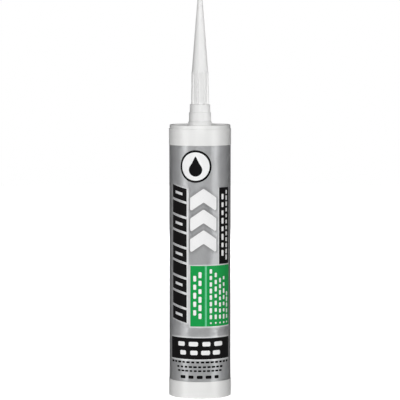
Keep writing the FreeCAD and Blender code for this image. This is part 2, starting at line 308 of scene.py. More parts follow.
def moulded_surface():
    """Shader group: the slight flow shade, gloss change and grain of moulded plastic."""
    inputs = {
        "Colour": (0.8, 0.8, 0.8, 1.0),
        "Flow Colour": (0.30, 0.30, 0.29, 1.0),
        "Shade": 0.04,
        "Roughness": 0.36,
        "Gloss Change": 0.06,
        "Grain Size": 0.0006,
        "Flow Size": 0.02,
        "Marks Scale": 55.0,
    }
    tree, given, result = surface_tree("Moulded surface", inputs)
    place = add(tree, "ShaderNodeTexCoord").outputs["Object"]
    stretched = add(tree, "ShaderNodeMapping", {"Vector": place, "Scale": (1.0, 1.0, 0.25)})
    flow = noise(tree, stretched, calc(tree, "DIVIDE", 1.0, given["Flow Size"]), 3.0)
    grain = noise(tree, place, calc(tree, "DIVIDE", 1.0, given["Grain Size"]), 2.0)
    marks = eased(tree, noise(tree, place, given["Marks Scale"], 5.0), 0.5, 0.68)
    darker = calc(tree, "MULTIPLY", given["Shade"], flow)
    tint = mixed(tree, darker, given["Colour"], given["Flow Colour"])
    duller = calc(tree, "ADD", flow, marks)
    return finish_surface(tree, given, result, tint, duller, grain)


def printed_film():
    """Shader group: the fine flake, rub marks and ripple of a printed film."""
    inputs = {
        "Colour": (0.4, 0.4, 0.4, 1.0),
        "Fleck Colour": (0.6, 0.6, 0.6, 1.0),
        "Fleck": 0.3,
        "Roughness": 0.34,
        "Gloss Change": 0.045,
        "Fleck Scale": 1400.0,
        "Cloud Scale": 140.0,
        "Ripple Scale": 90.0,
    }
    tree, given, result = surface_tree("Printed film", inputs)
    place = add(tree, "ShaderNodeTexCoord").outputs["Object"]
    fleck = noise(tree, place, given["Fleck Scale"], 2.0)
    cloud = noise(tree, place, given["Cloud Scale"], 4.0)
    ripple = noise(tree, place, given["Ripple Scale"], 1.0)
    strength = calc(tree, "MULTIPLY", given["Fleck"], eased(tree, fleck, 0.35, 0.75))
    clouded = calc(tree, "MULTIPLY", strength, calc(tree, "MULTIPLY", cloud, 2.0))
    tint = mixed(tree, clouded, given["Colour"], given["Fleck Colour"])
    duller = calc(tree, "ADD", eased(tree, cloud, 0.5, 0.7), fleck)
    return finish_surface(tree, given, result, tint, duller, ripple)


def node_material(name):
    """Material that uses nodes, and its node tree."""
    made = bpy.data.materials.new(name)
    made.use_nodes = True
    return made, made.node_tree


def surfaced(name, group_name, build, values, bump, bump_reach, constants):
    """Material whose shader takes its colour, roughness and relief from a surface group.

    The group is built the first time that a material asks for it.
    """
    made, tree = node_material(name)
    shader = tree.nodes["Principled BSDF"]
    for label, value in constants.items():
        shader.inputs[label].default_value = value
    group = bpy.data.node_groups.get(group_name) or build()
    surface = add(tree, "ShaderNodeGroup", values, node_tree=group).outputs
    relief = {"Strength": bump, "Distance": bump_reach, "Height": surface["Height"]}
    tree.links.new(surface["Colour"], shader.inputs["Base Color"])
    tree.links.new(surface["Roughness"], shader.inputs["Roughness"])
    tree.links.new(output(add(tree, "ShaderNodeBump", relief)), shader.inputs["Normal"])
    return made


def plastic(name, tint, roughness, grain_size=0.6, flow_size=20.0, shade=0.04):
    """Moulded polyethylene with its own colour and, in millimetres, its grain and flow."""
    values = {
        "Colour": (*tint, 1.0),
        "Shade": shade,
        "Roughness": roughness,
        "Grain Size": grain_size * MM,
        "Flow Size": flow_size * MM,
    }
    return surfaced(name, "Moulded surface", moulded_surface, values, 0.12, 0.05 * MM, {"IOR": 1.5})


def film(name, tint, fleck_tint, fleck, roughness, metallic=0.0, specular=0.5):
    """Printed film or ink with its own colour, fleck and gloss."""
    values = {
        "Colour": (*tint, 1.0),
        "Fleck Colour": (*fleck_tint, 1.0),
        "Fleck": fleck,
        "Roughness": roughness,
    }
    constants = {"Metallic": metallic, "Specular IOR Level": specular}
    return surfaced(name, "Printed film", printed_film, values, 0.05, 0.04 * MM, constants)


def rounded(corners, steps=4):
    """Closed (r, z) profile whose (r, z, rounding) corners are turned into short arcs."""
    points = []
    for index, (r, z, rounding) in enumerate(corners):
        point = Vector((r, z))
        if not rounding:
            points.append(point)
            continue
        back = Vector(corners[index - 1][:2]) - point
        ahead = Vector(corners[(index + 1) % len(corners)][:2]) - point
        half = back.angle(ahead) / 2
        back.normalize()
        ahead.normalize()
        centre = point + (back + ahead).normalized() * (rounding / math.sin(half))
        reach = rounding / math.tan(half)
        start = (point + back * reach - centre).normalized()
        end = (point + ahead * reach - centre).normalized()
        for step in range(steps + 1):
            points.append(centre + start.slerp(end, step / steps) * rounding)
    return points


def lathe(points, segments, swell=None):
    """Closed mesh of a closed (r, z) profile turned round the axis."""
    made = bmesh.new()
    angles = [index * 2 * math.pi / segments for index in range(segments)]
    rings = []
    for r, z in points:
        if r < 1e-7:
            rings.append([made.verts.new((0, 0, z))])
            continue
        ring = []
        for angle in angles:
            reach = swell(angle, r, z) if swell else r
            ring.append(made.verts.new((reach * math.cos(angle), reach * math.sin(angle), z)))
        rings.append(ring)
    for index, ring in enumerate(rings):
        following = rings[(index + 1) % len(rings)]
        for step in range(segments):
            after = (step + 1) % segments
            corners = [
                ring[step % len(ring)],
                ring[after % len(ring)],
                following[after % len(following)],
                following[step % len(following)],
            ]
            corners = list(dict.fromkeys(corners))
            if len(corners) > 2:
                made.faces.new(corners)
    bmesh.ops.recalc_face_normals(made, faces=made.faces)
    return made


def plain_mesh(name, made, sharp=40.0):
    """Smooth-shaded mesh from a bmesh, with its steep edges kept sharp."""
    mesh = bpy.data.meshes.new(name)
    made.to_mesh(mesh)
    made.free()
    mesh.shade_smooth()
    mesh.set_sharp_from_angle(angle=math.radians(sharp))
    return mesh


def add_piece(name, mesh, material, body, replaces=()):
    """Object with its own material that rides a body, and hides the CAD nodes it replaces."""
    mesh.materials.clear()
    mesh.materials.append(material)
    piece = bpy.data.objects.new(name, mesh)
    bpy.context.scene.collection.objects.link(piece)
    if replaces:
        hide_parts(*replaces)
    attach(piece, body)
    return piece


def add_turned(name, profile, segments, material, body, node):
    """Piece that is turned from a profile and takes the place of a CAD node."""
    mesh = plain_mesh(name, lathe(profile, segments))
    return add_piece(name, mesh, material, body, [node])


def pillar(radius, low, low_rounding, top, top_rounding):
    """Profile of a solid pillar with its two roundings."""
    corners = [
        (0.0, low, 0.0),
        (radius, low, low_rounding),
        (radius, top, top_rounding),
        (0.0, top, 0.0),
    ]
    return rounded(corners)


def shape_tree(name, sizes):
    """Empty Geometry Nodes tree with inputs for a guide, sizes and a material."""
    inputs = {"Geometry": None, **sizes, "Material": None}
    return new_tree(name, "GeometryNodeTree", inputs, {"Geometry": None})


def finish_shape(tree, given, result, shape):
    """Ends a Geometry Nodes tree in Realize Instances and Set Material."""
    real = add(tree, "GeometryNodeRealizeInstances", {"Geometry": shape})
    dressing = {"Geometry": real, "Material": given["Material"]}
    tree.links.new(output(add(tree, "GeometryNodeSetMaterial", dressing)), result["Geometry"])
    return tree


def grown(tree, values, guide=None):
    """Plain mesh that a Geometry Nodes tree makes, with its inputs given by name."""
    carrier = bpy.data.objects.new(tree.name, guide or bpy.data.meshes.new("guide"))
    bpy.context.scene.collection.objects.link(carrier)
    modifier = carrier.modifiers.new(tree.name, "NODES")
    modifier.node_group = tree
    for item in tree.interface.items_tree:
        if item.in_out == "INPUT" and item.name in values:
            modifier[item.identifier] = values[item.name]
    graph = bpy.context.evaluated_depsgraph_get()
    result = bpy.data.meshes.new_from_object(carrier.evaluated_get(graph), depsgraph=graph)
    carrier.modifiers.remove(modifier)
    bpy.data.objects.remove(carrier)
    return result


def flat_solid(outlines):
    """Mesh, one unit thick, of flat closed outlines; an outline inside another is a hole."""
    curve = bpy.data.curves.new("outlines", "CURVE")
    curve.dimensions = "2D"
    curve.fill_mode = "BOTH"
    curve.extrude = 0.5
    for points in outlines:
        spline = curve.splines.new("POLY")
        spline.points.add(len(points) - 1)
        for control, (around, up) in zip(spline.points, points):
            control.co = (around, up, 0.0, 1.0)
        spline.use_cyclic_u = True
    carrier = bpy.data.objects.new("outlines", curve)
    flat = bpy.data.meshes.new_from_object(carrier)
    bpy.data.objects.remove(carrier)
    made = bmesh.new()
    made.from_mesh(flat)
    bmesh.ops.remove_doubles(made, verts=made.verts, dist=1e-4)
    return made


def wrapped(name, outlines, base, thickness, strip=0.8):
    """Closed mesh of (around, up) outlines in millimetres, wrapped round the label."""
    made = flat_solid(outlines)
    left = min(vert.co.x for vert in made.verts)
    right = max(vert.co.x for vert in made.verts)
    for index in range(1, math.ceil((right - left) / strip)):
        everything = made.verts[:] + made.edges[:] + made.faces[:]
        place = (left + index * strip, 0, 0)
        bmesh.ops.bisect_plane(made, geom=everything, plane_co=place, plane_no=(1, 0, 0))
    for vert in made.verts:
        angle = vert.co.x * MM / LABEL_R
        reach = base + (vert.co.z + 0.5) * thickness
        vert.co = (reach * math.sin(angle), -reach * math.cos(angle), vert.co.y * MM)
    bmesh.ops.recalc_face_normals(made, faces=made.faces)
    return plain_mesh(name, made, 30.0)


def ink_base(layer):
    """Inner radius of a printed layer."""
    label = settings().label
    return LABEL_R + label.coat + layer * (label.ink + label.coat)


def add_print(name, outlines, base, thickness, ink, replaces=()):
    """Printed piece of outlines that are wrapped round the label."""
    add_piece(name, wrapped(name, outlines, base, thickness), ink, "barrel", replaces)


# Places of the printed fields, in millimetres round the label from its front line and up
# from the rear rim
LABEL_FOOT = LABEL_LOW.z / MM
LABEL_HEAD = LABEL_HIGH.z / MM
BADGE_AROUND = -3.6
BADGE_UP = LABEL_HEAD - 16.4
BADGE_RADIUS = 13.0
BADGE_LINE = 1.7
LOWER_LEFT = -28.1
LOWER_RIGHT = 28.9
LOWER_START = LABEL_FOOT + 18.3
LOWER_END = LOWER_START + 17.2
GREEN_START = LOWER_END + 9.3
GREEN_END = GREEN_START + 48.8
GREEN_LEFT = -7.9
GREEN_MIDDLE = 3.9
GREEN_RULE = 1.6
GREEN_RIGHT = 29.3
BLOCKS_LEFT = -26.3
BLOCKS_RIGHT = -11.0
BLOCKS_START = LOWER_END + 11.9
BLOCKS_END = LABEL_HEAD - 31.0
BLOCK_COUNT = 9
BLOCK_GAP = 1.9
BLOCK_SLANT = 3.4
BLOCK_SLOT = 2.2
STRIP_LEFT = 16.4
STRIP_RIGHT = 28.3
STRIP_START = GREEN_END + 1.0
STRIP_END = LABEL_HEAD - 33.5
CHEVRON_LEFT = -8.0
CHEVRON_RIGHT = 13.6
CHEVRON_START = GREEN_END + 10.2
CHEVRON_END = LABEL_HEAD - 34.0
CHEVRON_RISE = 7.5
CHEVRON_STROKE = 11.0
CHEVRON_COUNT = 3
DROP_LOWER = 2.6
DROP_RADIUS = 5.4
BULLETS_UP = 61.0
BULLETS_AROUND = (8.8, 13.1, 17.3, 21.5, 25.4)
BULLET_RADIUS = 0.75
SHADOW_LEFT = -14.0
SHADOW_RIGHT = 20.0
SHADOW_START = CHEVRON_START - 6.0
SHADOW_REACH = 3.4

# Rows of word bars, by left side, right side, start and end: up the label in the strip and the
# green panels, round it in the lower field, and round it in black below that field
UPRIGHT_ROWS = (
    (18.8, 21.2, 114.0, 165.0),
    (23.8, 25.7, 111.0, 168.0),
    (-5.4, -3.0, 66.6, 99.8),
    (-1.2, 1.2, 63.9, 102.7),
    (7.8, 9.8, 63.5, 105.0),
    (12.1, 14.1, 63.5, 102.0),
    (16.3, 18.2, 63.5, 97.5),
    (20.5, 22.3, 63.5, 99.0),
    (24.5, 26.2, 63.5, 86.0),
)
LEVEL_ROWS = (
    (-20.2, 20.0, 42.4, 46.0),
    (-18.6, 18.2, 35.4, 39.0),
)
BLACK_ROWS = (
    (-27.5, 27.7, 28.7, 30.2),
    (-21.0, 20.5, 24.9, 26.4),
    (-19.8, 19.4, 21.8, 23.2),
    (-17.6, 17.2, 16.2, 18.8),
)
ROW_INSET = 1.2


def bar(left, right, start, end, corner=0.25):
    """Outline of a printed rectangle with slightly soft corners."""
    return [
        (left + corner, start),
        (right - corner, start),
        (right, start + corner),
        (right, end - corner),
        (right - corner, end),
        (left + corner, end),
        (left, end - corner),
        (left, start + corner),
    ]


def disc(around, up, radius, steps=72):
    """Outline of a printed disc."""
    turns = [2 * math.pi * step / steps for step in range(steps)]
    return [(around + radius * math.sin(t), up + radius * math.cos(t)) for t in turns]


def drop(around, up, radius, steps=48):
    """Outline of a drop with its point up."""
    points = []
    for step in range(steps):
        t = 2 * math.pi * step / steps
        stretch = 1.0 + 0.95 * max(0.0, math.cos(t)) ** 4
        narrow = 1.0 - 0.45 * max(0.0, math.cos(t)) ** 3
        points.append((around + radius * narrow * math.sin(t), up + radius * stretch * math.cos(t)))
    return points


def slanted(left, right, start, end):
    """Outline of a field whose left side stands higher by the blocks' slant."""
    slope = BLOCK_SLANT / (BLOCKS_RIGHT - BLOCKS_LEFT)
    lift_left = (BLOCKS_RIGHT - left) * slope
    lift_right = (BLOCKS_RIGHT - right) * slope
    return [
        (left, start + lift_left),
        (right, start + lift_right),
        (right, end + lift_right),
        (left, end + lift_left),
    ]


def block_column(grow=0.0, slots=True):
    """Outlines of the column of slanted blocks, with a slot in every second one."""
    pitch = (BLOCKS_END - BLOCKS_START - BLOCK_SLANT + BLOCK_GAP) / BLOCK_COUNT
    quarter = (BLOCKS_RIGHT - BLOCKS_LEFT) / 4
    outlines = []
    for index in range(BLOCK_COUNT):
        start = BLOCKS_START + index * pitch
        end = start + pitch - BLOCK_GAP
        outlines.append(slanted(BLOCKS_LEFT - grow, BLOCKS_RIGHT + grow, start - grow, end + grow))
        if slots and index % 2 == 0:
            middle = (start + end) / 2
            half = BLOCK_SLOT / 2 - grow
            left = BLOCKS_LEFT + quarter + grow
            right = BLOCKS_RIGHT - quarter - grow
            outlines.append(slanted(left, right, middle - half, middle + half))
    return outlines


def chevrons():
    """Outlines of the large chevrons, with softened corners."""
    middle = (CHEVRON_LEFT + CHEVRON_RIGHT) / 2
    last = CHEVRON_END - CHEVRON_RISE - CHEVRON_STROKE
    pitch = (last - CHEVRON_START) / (CHEVRON_COUNT - 1)
    soft = 1.2
    soft_point = 1.6
    outlines = []
    for index in range(CHEVRON_COUNT):
        start = CHEVRON_START + index * pitch
        corners = [
            (CHEVRON_LEFT, start, soft),
            (middle, start + CHEVRON_RISE, soft),
            (CHEVRON_RIGHT, start, soft),
            (CHEVRON_RIGHT, start + CHEVRON_STROKE, soft),
            (middle, start + CHEVRON_RISE + CHEVRON_STROKE, soft_point),
            (CHEVRON_LEFT, start + CHEVRON_STROKE, soft),
        ]
        outlines.append([tuple(point) for point in rounded(corners, 5)])
    return outlines


class CAULK_OT_barrel(bpy.types.Operator):
    """Barrel with its stepped front end, its neck and the neck's thread"""

    bl_idname = "caulk.barrel"
    bl_label = "Barrel"

    def execute(self, context):
        size = settings().barrel
        bore = BARREL_R - size.wall
        rim_top = FACE + size.face_recess
        step = rim_top - size.step_height
        step_r = BARREL_R - size.step_inset
        floor_r = BARREL_R - size.film_recess
        inner = FACE - size.front_wall
        land_top = FACE + size.land_height
        profile = rounded([
            (bore, 0.0, 0.3 * MM),
            (BARREL_R, 0.0, 0.5 * MM),
            (BARREL_R, LABEL_LOW.z, 0.12 * MM),
            (floor_r, LABEL_LOW.z, 0.0),
            (floor_r, LABEL_HIGH.z, 0.0),
            (BARREL_R, LABEL_HIGH.z, 0.12 * MM),
            (BARREL_R, step, 0.3 * MM),
            (step_r, step + 0.25 * MM, 0.15 * MM),
            (step_r, rim_top, 0.8 * MM),
            (step_r - size.rim_width, rim_top, 0.4 * MM),
            (step_r - size.rim_width - 0.2 * MM, FACE, 0.3 * MM),
            (size.neck_land, FACE, 0.5 * MM),
            (size.neck_land, land_top, 0.2 * MM),
            (size.neck_root, land_top + 0.3 * MM, 0.2 * MM),
            (size.neck_root, BARREL_HIGH.z, 0.4 * MM),
            (size.neck_bore, BARREL_HIGH.z, 0.3 * MM),
            (size.neck_bore, inner, 0.4 * MM),
            (bore, inner, 0.15 * MM),
        ])
        white = plastic("White moulded barrel", size.white, 0.26)
        add_turned("barrel", profile, 192, white, "barrel", "cartridge")
        values = {
            "Radius": size.neck_root,
            "Pitch": size.thread_pitch,
            "Turns": size.thread_turns,
            "Foot": land_top + 1.2 * MM,
            "Tooth Depth": size.neck_land - size.neck_root,
            "Material": white,
        }
        thread = grown(thread_tree(), values)
        add_piece("neck_thread", thread, white, "barrel")
        return {"FINISHED"}


def thread_tree():
    """Geometry Nodes: a rounded thread tooth swept up a spiral, fading at both ends."""
    sizes = {"Radius": 0.006, "Pitch": 0.003, "Turns": 2.5, "Foot": 0.22, "Tooth Depth": 0.0006}
    tree, given, result = shape_tree("Neck thread", sizes)
    course = {
        "Resolution": 64,
        "Rotations": given["Turns"],
        "Start Radius": given["Radius"],
        "End Radius": given["Radius"],
        "Height": calc(tree, "MULTIPLY", given["Pitch"], given["Turns"]),
    }
    spiral = add(tree, "GeometryNodeCurveSpiral", course)
    lift = vector(tree, z=given["Foot"])
    placed = add(tree, "GeometryNodeTransform", {"Geometry": spiral, "Translation": lift})
    along = add(tree, "GeometryNodeSplineParameter").outputs["Factor"]
    fade = calc(tree, "MULTIPLY", eased(tree, along, 0.0, 0.08), eased(tree, along, 1.0, 0.92))
    thick = add(tree, "GeometryNodeSetCurveRadius", {"Curve": placed, "Radius": fade})
    tooth_r = calc(tree, "MULTIPLY", given["Tooth Depth"], 0.98)
    tooth = add(tree, "GeometryNodeCurvePrimitiveCircle", {"Resolution": 10, "Radius": tooth_r})
    sweep = {"Curve": thick, "Profile Curve": tooth, "Fill Caps": True}
    swept = add(tree, "GeometryNodeCurveToMesh", sweep)
    smooth = add(tree, "GeometryNodeSetShadeSmooth", {"Geometry": swept})
    return finish_shape(tree, given, result, smooth)


class CAULK_OT_nozzle(bpy.types.Operator):
    """Screw-on nozzle: foot, two collars, ribbed grip, long cone and closed tip"""

    bl_idname = "caulk.nozzle"
    bl_label = "Nozzle"

    def execute(self, context):
        size = settings().nozzle
        foot_r = NOZZLE_HIGH.x
        foot_top = NOZZLE_LOW.z + size.foot_height
        lower_top = foot_top + size.lower_height
        upper_top = lower_top + size.upper_height
        grip_top = upper_top + size.grip_height
        run_out_end = grip_top + size.run_out
        tip = NOZZLE_HIGH.z
        seat = NOZZLE_LOW.z + size.seat
        cap_bore = settings().barrel.neck_land + 0.1 * MM
        cone_start = grip_top + 0.4 * MM
        cone_slope = (size.tip_radius - size.cone_base) / (tip - grip_top)
        run_out_r = size.cone_base + cone_slope * size.run_out
        corners = [
            (cap_bore, NOZZLE_LOW.z, 0.3 * MM),
            (foot_r, NOZZLE_LOW.z, 0.3 * MM),
            (foot_r, foot_top, 0.5 * MM),
            (size.lower_collar, foot_top, 0.3 * MM),
            (size.lower_collar, lower_top, 0.4 * MM),
            (size.upper_collar, lower_top, 0.25 * MM),
            (size.upper_collar, upper_top, 0.5 * MM),
            (size.grip_core, upper_top, 0.4 * MM),
        ]
        grip_rows = 8
        for row in range(1, grip_rows):
            z = upper_top + (grip_top - upper_top) * row / grip_rows
            corners.append((size.grip_core, z, 0.0))
        corners += [
            (size.grip_core, grip_top - 2.4 * MM, 0.0),
            (size.cone_base - 0.08 * MM, grip_top, 0.0),
            (size.cone_base, cone_start, 0.0),
        ]
        run_out_rows = 6
        for row in range(1, run_out_rows + 1):
            z = cone_start + size.run_out * row / run_out_rows
            corners.append((size.cone_base + cone_slope * (z - grip_top), z, 0.0))
        corners += [
            (size.tip_radius, tip, 0.8 * MM),
            (0.0, tip, 0.0),
            (0.0, tip - size.tip_skin, 0.0),
            (size.passage_tip, tip - size.tip_skin, 0.2 * MM),
            (size.passage, grip_top, 0.0),
            (size.passage, seat, 0.3 * MM),
            (cap_bore, seat, 0.3 * MM),
        ]
        half_width = size.rib_width / 2
        soft = 0.28 * MM
        rib_foot = upper_top + 0.05 * MM
        outside_r = size.grip_core - 0.4 * MM
        spacing = 2 * math.pi / size.rib_count

        def ribbed(angle, r, z):
            """Radius with the grip's ribs, which taper and then run out into the cone."""
            if z < rib_foot or z > run_out_end or r < outside_r:
                return r
            from_rib = (angle + math.pi / 2 - size.rib_phase + spacing / 2) % spacing - spacing / 2
            across = abs(from_rib) * size.rib_root
            cover = min(1.0, max(0.0, (half_width + soft - across) / (2 * soft)))
            cover = cover * cover * (3 - 2 * cover)
            climb = min(1.0, (z - upper_top) / (grip_top - upper_top))
            crest = size.rib_root + (size.rib_end - size.rib_root) * climb
            if z > grip_top:
                fade = (z - grip_top) / size.run_out
                crest += (run_out_r - crest) * fade
            return r + (max(crest, r) - r) * cover

        white = plastic("White moulded nozzle", size.white, 0.38, 0.4, 12.0)
        made = lathe(rounded(corners), size.rib_count * 32, ribbed)
        mesh = plain_mesh("screw_nozzle", made, 50.0)
        piece = add_piece("screw_nozzle", mesh, white, "nozzle", ["nozzle"])
        lit_by_fill().objects.link(piece)
        return {"FINISHED"}


def plunger_rib_tree():
    """Geometry Nodes: upright ribs spaced evenly round the axis."""
    sizes = {
        "Count": 6,
        "Inner Radius": 0.004,
        "Outer Radius": 0.02,
        "Width": 0.001,
        "Height": 0.008,
        "Foot": 0.03,
    }
    tree, given, result = shape_tree("Plunger ribs", sizes)
    span = calc(tree, "SUBTRACT", given["Outer Radius"], given["Inner Radius"])
    middle_r = calc(tree, "MULTIPLY_ADD", span, 0.5, given["Inner Radius"])
    middle_z = calc(tree, "MULTIPLY_ADD", given["Height"], 0.5, given["Foot"])
    measure = vector(tree, span, given["Width"], given["Height"])
    rib = add(tree, "GeometryNodeMeshCube", {"Size": measure})
    offset = vector(tree, middle_r, z=middle_z)
    moved = add(tree, "GeometryNodeTransform", {"Geometry": rib, "Translation": offset})
    hub = add(tree, "GeometryNodeMeshLine", {"Count": given["Count"], "Offset": (0.0, 0.0, 0.0)})
    index = add(tree, "GeometryNodeInputIndex")
    angle = calc(tree, "MULTIPLY", index, calc(tree, "DIVIDE", 2 * math.pi, given["Count"]))
    spread = {"Points": hub, "Instance": moved, "Rotation": vector(tree, z=angle)}
    return finish_shape(tree, given, result, add(tree, "GeometryNodeInstanceOnPoints", spread))


class CAULK_OT_plunger(bpy.types.Operator):
    """Plunger: cup with wiping lips, and ribs round a hub inside it"""

    bl_idname = "caulk.plunger"
    bl_label = "Plunger"

    def execute(self, context):
        size = settings().plunger
        lip = PLUNGER_HIGH.x
        skirt = lip - size.lip_relief
        cup = skirt - size.wall
        low = PLUNGER_LOW.z
        top = PLUNGER_HIGH.z
        inside = top - size.crown_wall
        hub_foot = inside - size.rib_height
        profile = rounded([
            (cup, low, 0.3 * MM),
            (lip, low, 0.3 * MM),
            (lip, low + size.lip_height, 0.1 * MM),
            (skirt, low + size.lip_height + size.lip_relief, 0.2 * MM),
            (skirt, top - size.lip_height - size.lip_relief, 0.2 * MM),
            (lip, top - size.lip_height, 0.1 * MM),
            (lip, top, 0.3 * MM),
            (0.0, top, 0.0),
            (0.0, inside, 0.0),
            (size.hub_bore, inside, 0.3 * MM),
            (size.hub_bore, hub_foot, 0.3 * MM),
            (size.hub_radius, hub_foot, 0.3 * MM),
            (size.hub_radius, inside, 0.5 * MM),
            (cup, inside, 1.2 * MM),
        ])
        natural = plastic("Natural plunger", size.natural, 0.45, 0.8, 10.0, 0.08)
        add_turned("plunger_cup", profile, 144, natural, "plunger", "plunger")
        sunk = 0.4 * MM
        values = {
            "Count": size.rib_count,
            "Inner Radius": size.hub_radius - sunk,
            "Outer Radius": cup + 0.5 * MM,
            "Width": size.rib_width,
            "Height": size.rib_height + sunk,
            "Foot": hub_foot,
            "Material": natural,
        }
        ribs = grown(plunger_rib_tree(), values)
        add_piece("plunger_ribs", ribs, natural, "plunger")
        return {"FINISHED"}


class CAULK_OT_filling(bpy.types.Operator):
    """Sealant in the barrel and in the neck, and the foil over the neck's mouth"""

    bl_idname = "caulk.filling"
    bl_label = "Filling and seal"

    def execute(self, context):
        size = settings().filling
        paste = plastic("Sealant paste", size.paste, 0.3, 2.0, 10.0, 0.05)
        top = SEALANT_HIGH.z
        front = top - size.neck_length
        column = pillar(SEALANT_HIGH.x, SEALANT_LOW.z, 0.2 * MM, front, 0.15 * MM)
        piece = add_turned("sealant_column", column, 96, paste, "barrel", "sealant")
        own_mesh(piece)
        plug = pillar(size.neck_radius, front, 0.0, top, 0.6 * MM)
        add_turned("sealant_neck", plug, 48, paste, "barrel", "sealant")
        foil = film("Foil seal", size.foil, (0.9, 0.9, 0.9), 0.4, 0.28, 0.9)
        seal = pillar(SEAL_HIGH.x, SEAL_LOW.z, 0.0, SEAL_HIGH.z, 0.04 * MM)
        add_turned("foil_disc", seal, 64, foil, "barrel", "foil_seal")
        return {"FINISHED"}


def distance_to(outlines, around, up):
    """Distance of grid points from the nearest side of the outlines."""
    nearest = np.full(around.shape, 1e9)
    for points in outlines:
        for index, start in enumerate(points):
            end = points[(index + 1) % len(points)]
            run = np.array(end) - np.array(start)
            along = ((around - start[0]) * run[0] + (up - start[1]) * run[1]) / (run @ run)
            along = np.clip(along, 0.0, 1.0)
            gap = np.hypot(around - start[0] - along * run[0], up - start[1] - along * run[1])
            nearest = np.minimum(nearest, gap)
    return nearest


class CAULK_OT_label(bpy.types.Operator):
    """Silver wrap label with a soft shadow printed round its large white fields"""

    bl_idname = "caulk.label"
    bl_label = "Label"

    def execute(self, context):
        size = settings().label
        half_way = (math.pi * LABEL_R - size.seam_gap / 2) / MM
        fine_step = 0.85
        fine = np.arange(SHADOW_LEFT, SHADOW_RIGHT, fine_step)
        columns = np.concatenate([
            np.linspace(-half_way, SHADOW_LEFT, 56, endpoint=False),
            fine,
            np.linspace(fine[-1] + fine_step, half_way, 50),
        ])
        rows = np.concatenate([
            np.linspace(LABEL_FOOT, SHADOW_START, 24, endpoint=False),
            np.arange(SHADOW_START, LABEL_HEAD - 1.0, 0.95),
            [LABEL_HEAD],
        ])
        around, up = np.meshgrid(columns, rows)
        shadow = 1.0 - distance_to(chevrons(), around, up) / SHADOW_REACH
        shadow = np.clip(shadow, 0.0, 1.0) ** 1.5
        made = bmesh.new()
        halo = made.verts.layers.float.new("halo")
        grid = []
        for row_around, row_up, row_shadow in zip(around, up, shadow):
            line = []
            for s, z, dark in zip(row_around, row_up, row_shadow):
                angle = s * MM / LABEL_R
                place = (LABEL_R * math.sin(angle), -LABEL_R * math.cos(angle), z * MM)
                vert = made.verts.new(place)
                vert[halo] = dark
                line.append(vert)
            grid.append(line)
        for lower, upper in zip(grid, grid[1:]):
            for column in range(len(lower) - 1):
                corners = (lower[column], lower[column + 1], upper[column + 1], upper[column])
                made.faces.new(corners)
        bmesh.ops.solidify(made, geom=made.faces[:], thickness=size.film)
        bmesh.ops.recalc_face_normals(made, faces=made.faces)
        silver = film("Silver film", size.silver, (0.65, 0.65, 0.66), 0.3, 0.3, 0.5)
        darken_by_halo(silver)
        mesh = plain_mesh("label_film", made)
        add_piece("label_film", mesh, silver, "barrel", ["label"])
        return {"FINISHED"}


def darken_by_halo(material):
    """Darkens a film where its mesh has the printed shadow."""
    tree = material.node_tree
    base = tree.nodes["Principled BSDF"].inputs["Base Color"]
    halo = add(tree, "ShaderNodeAttribute", attribute_name="halo").outputs["Fac"]
    amount = calc(tree, "MULTIPLY", halo, 0.42)
    shadow_grey = (0.09, 0.09, 0.095, 1.0)
    tree.links.new(mixed(tree, amount, base.links[0].from_socket, shadow_grey), base)


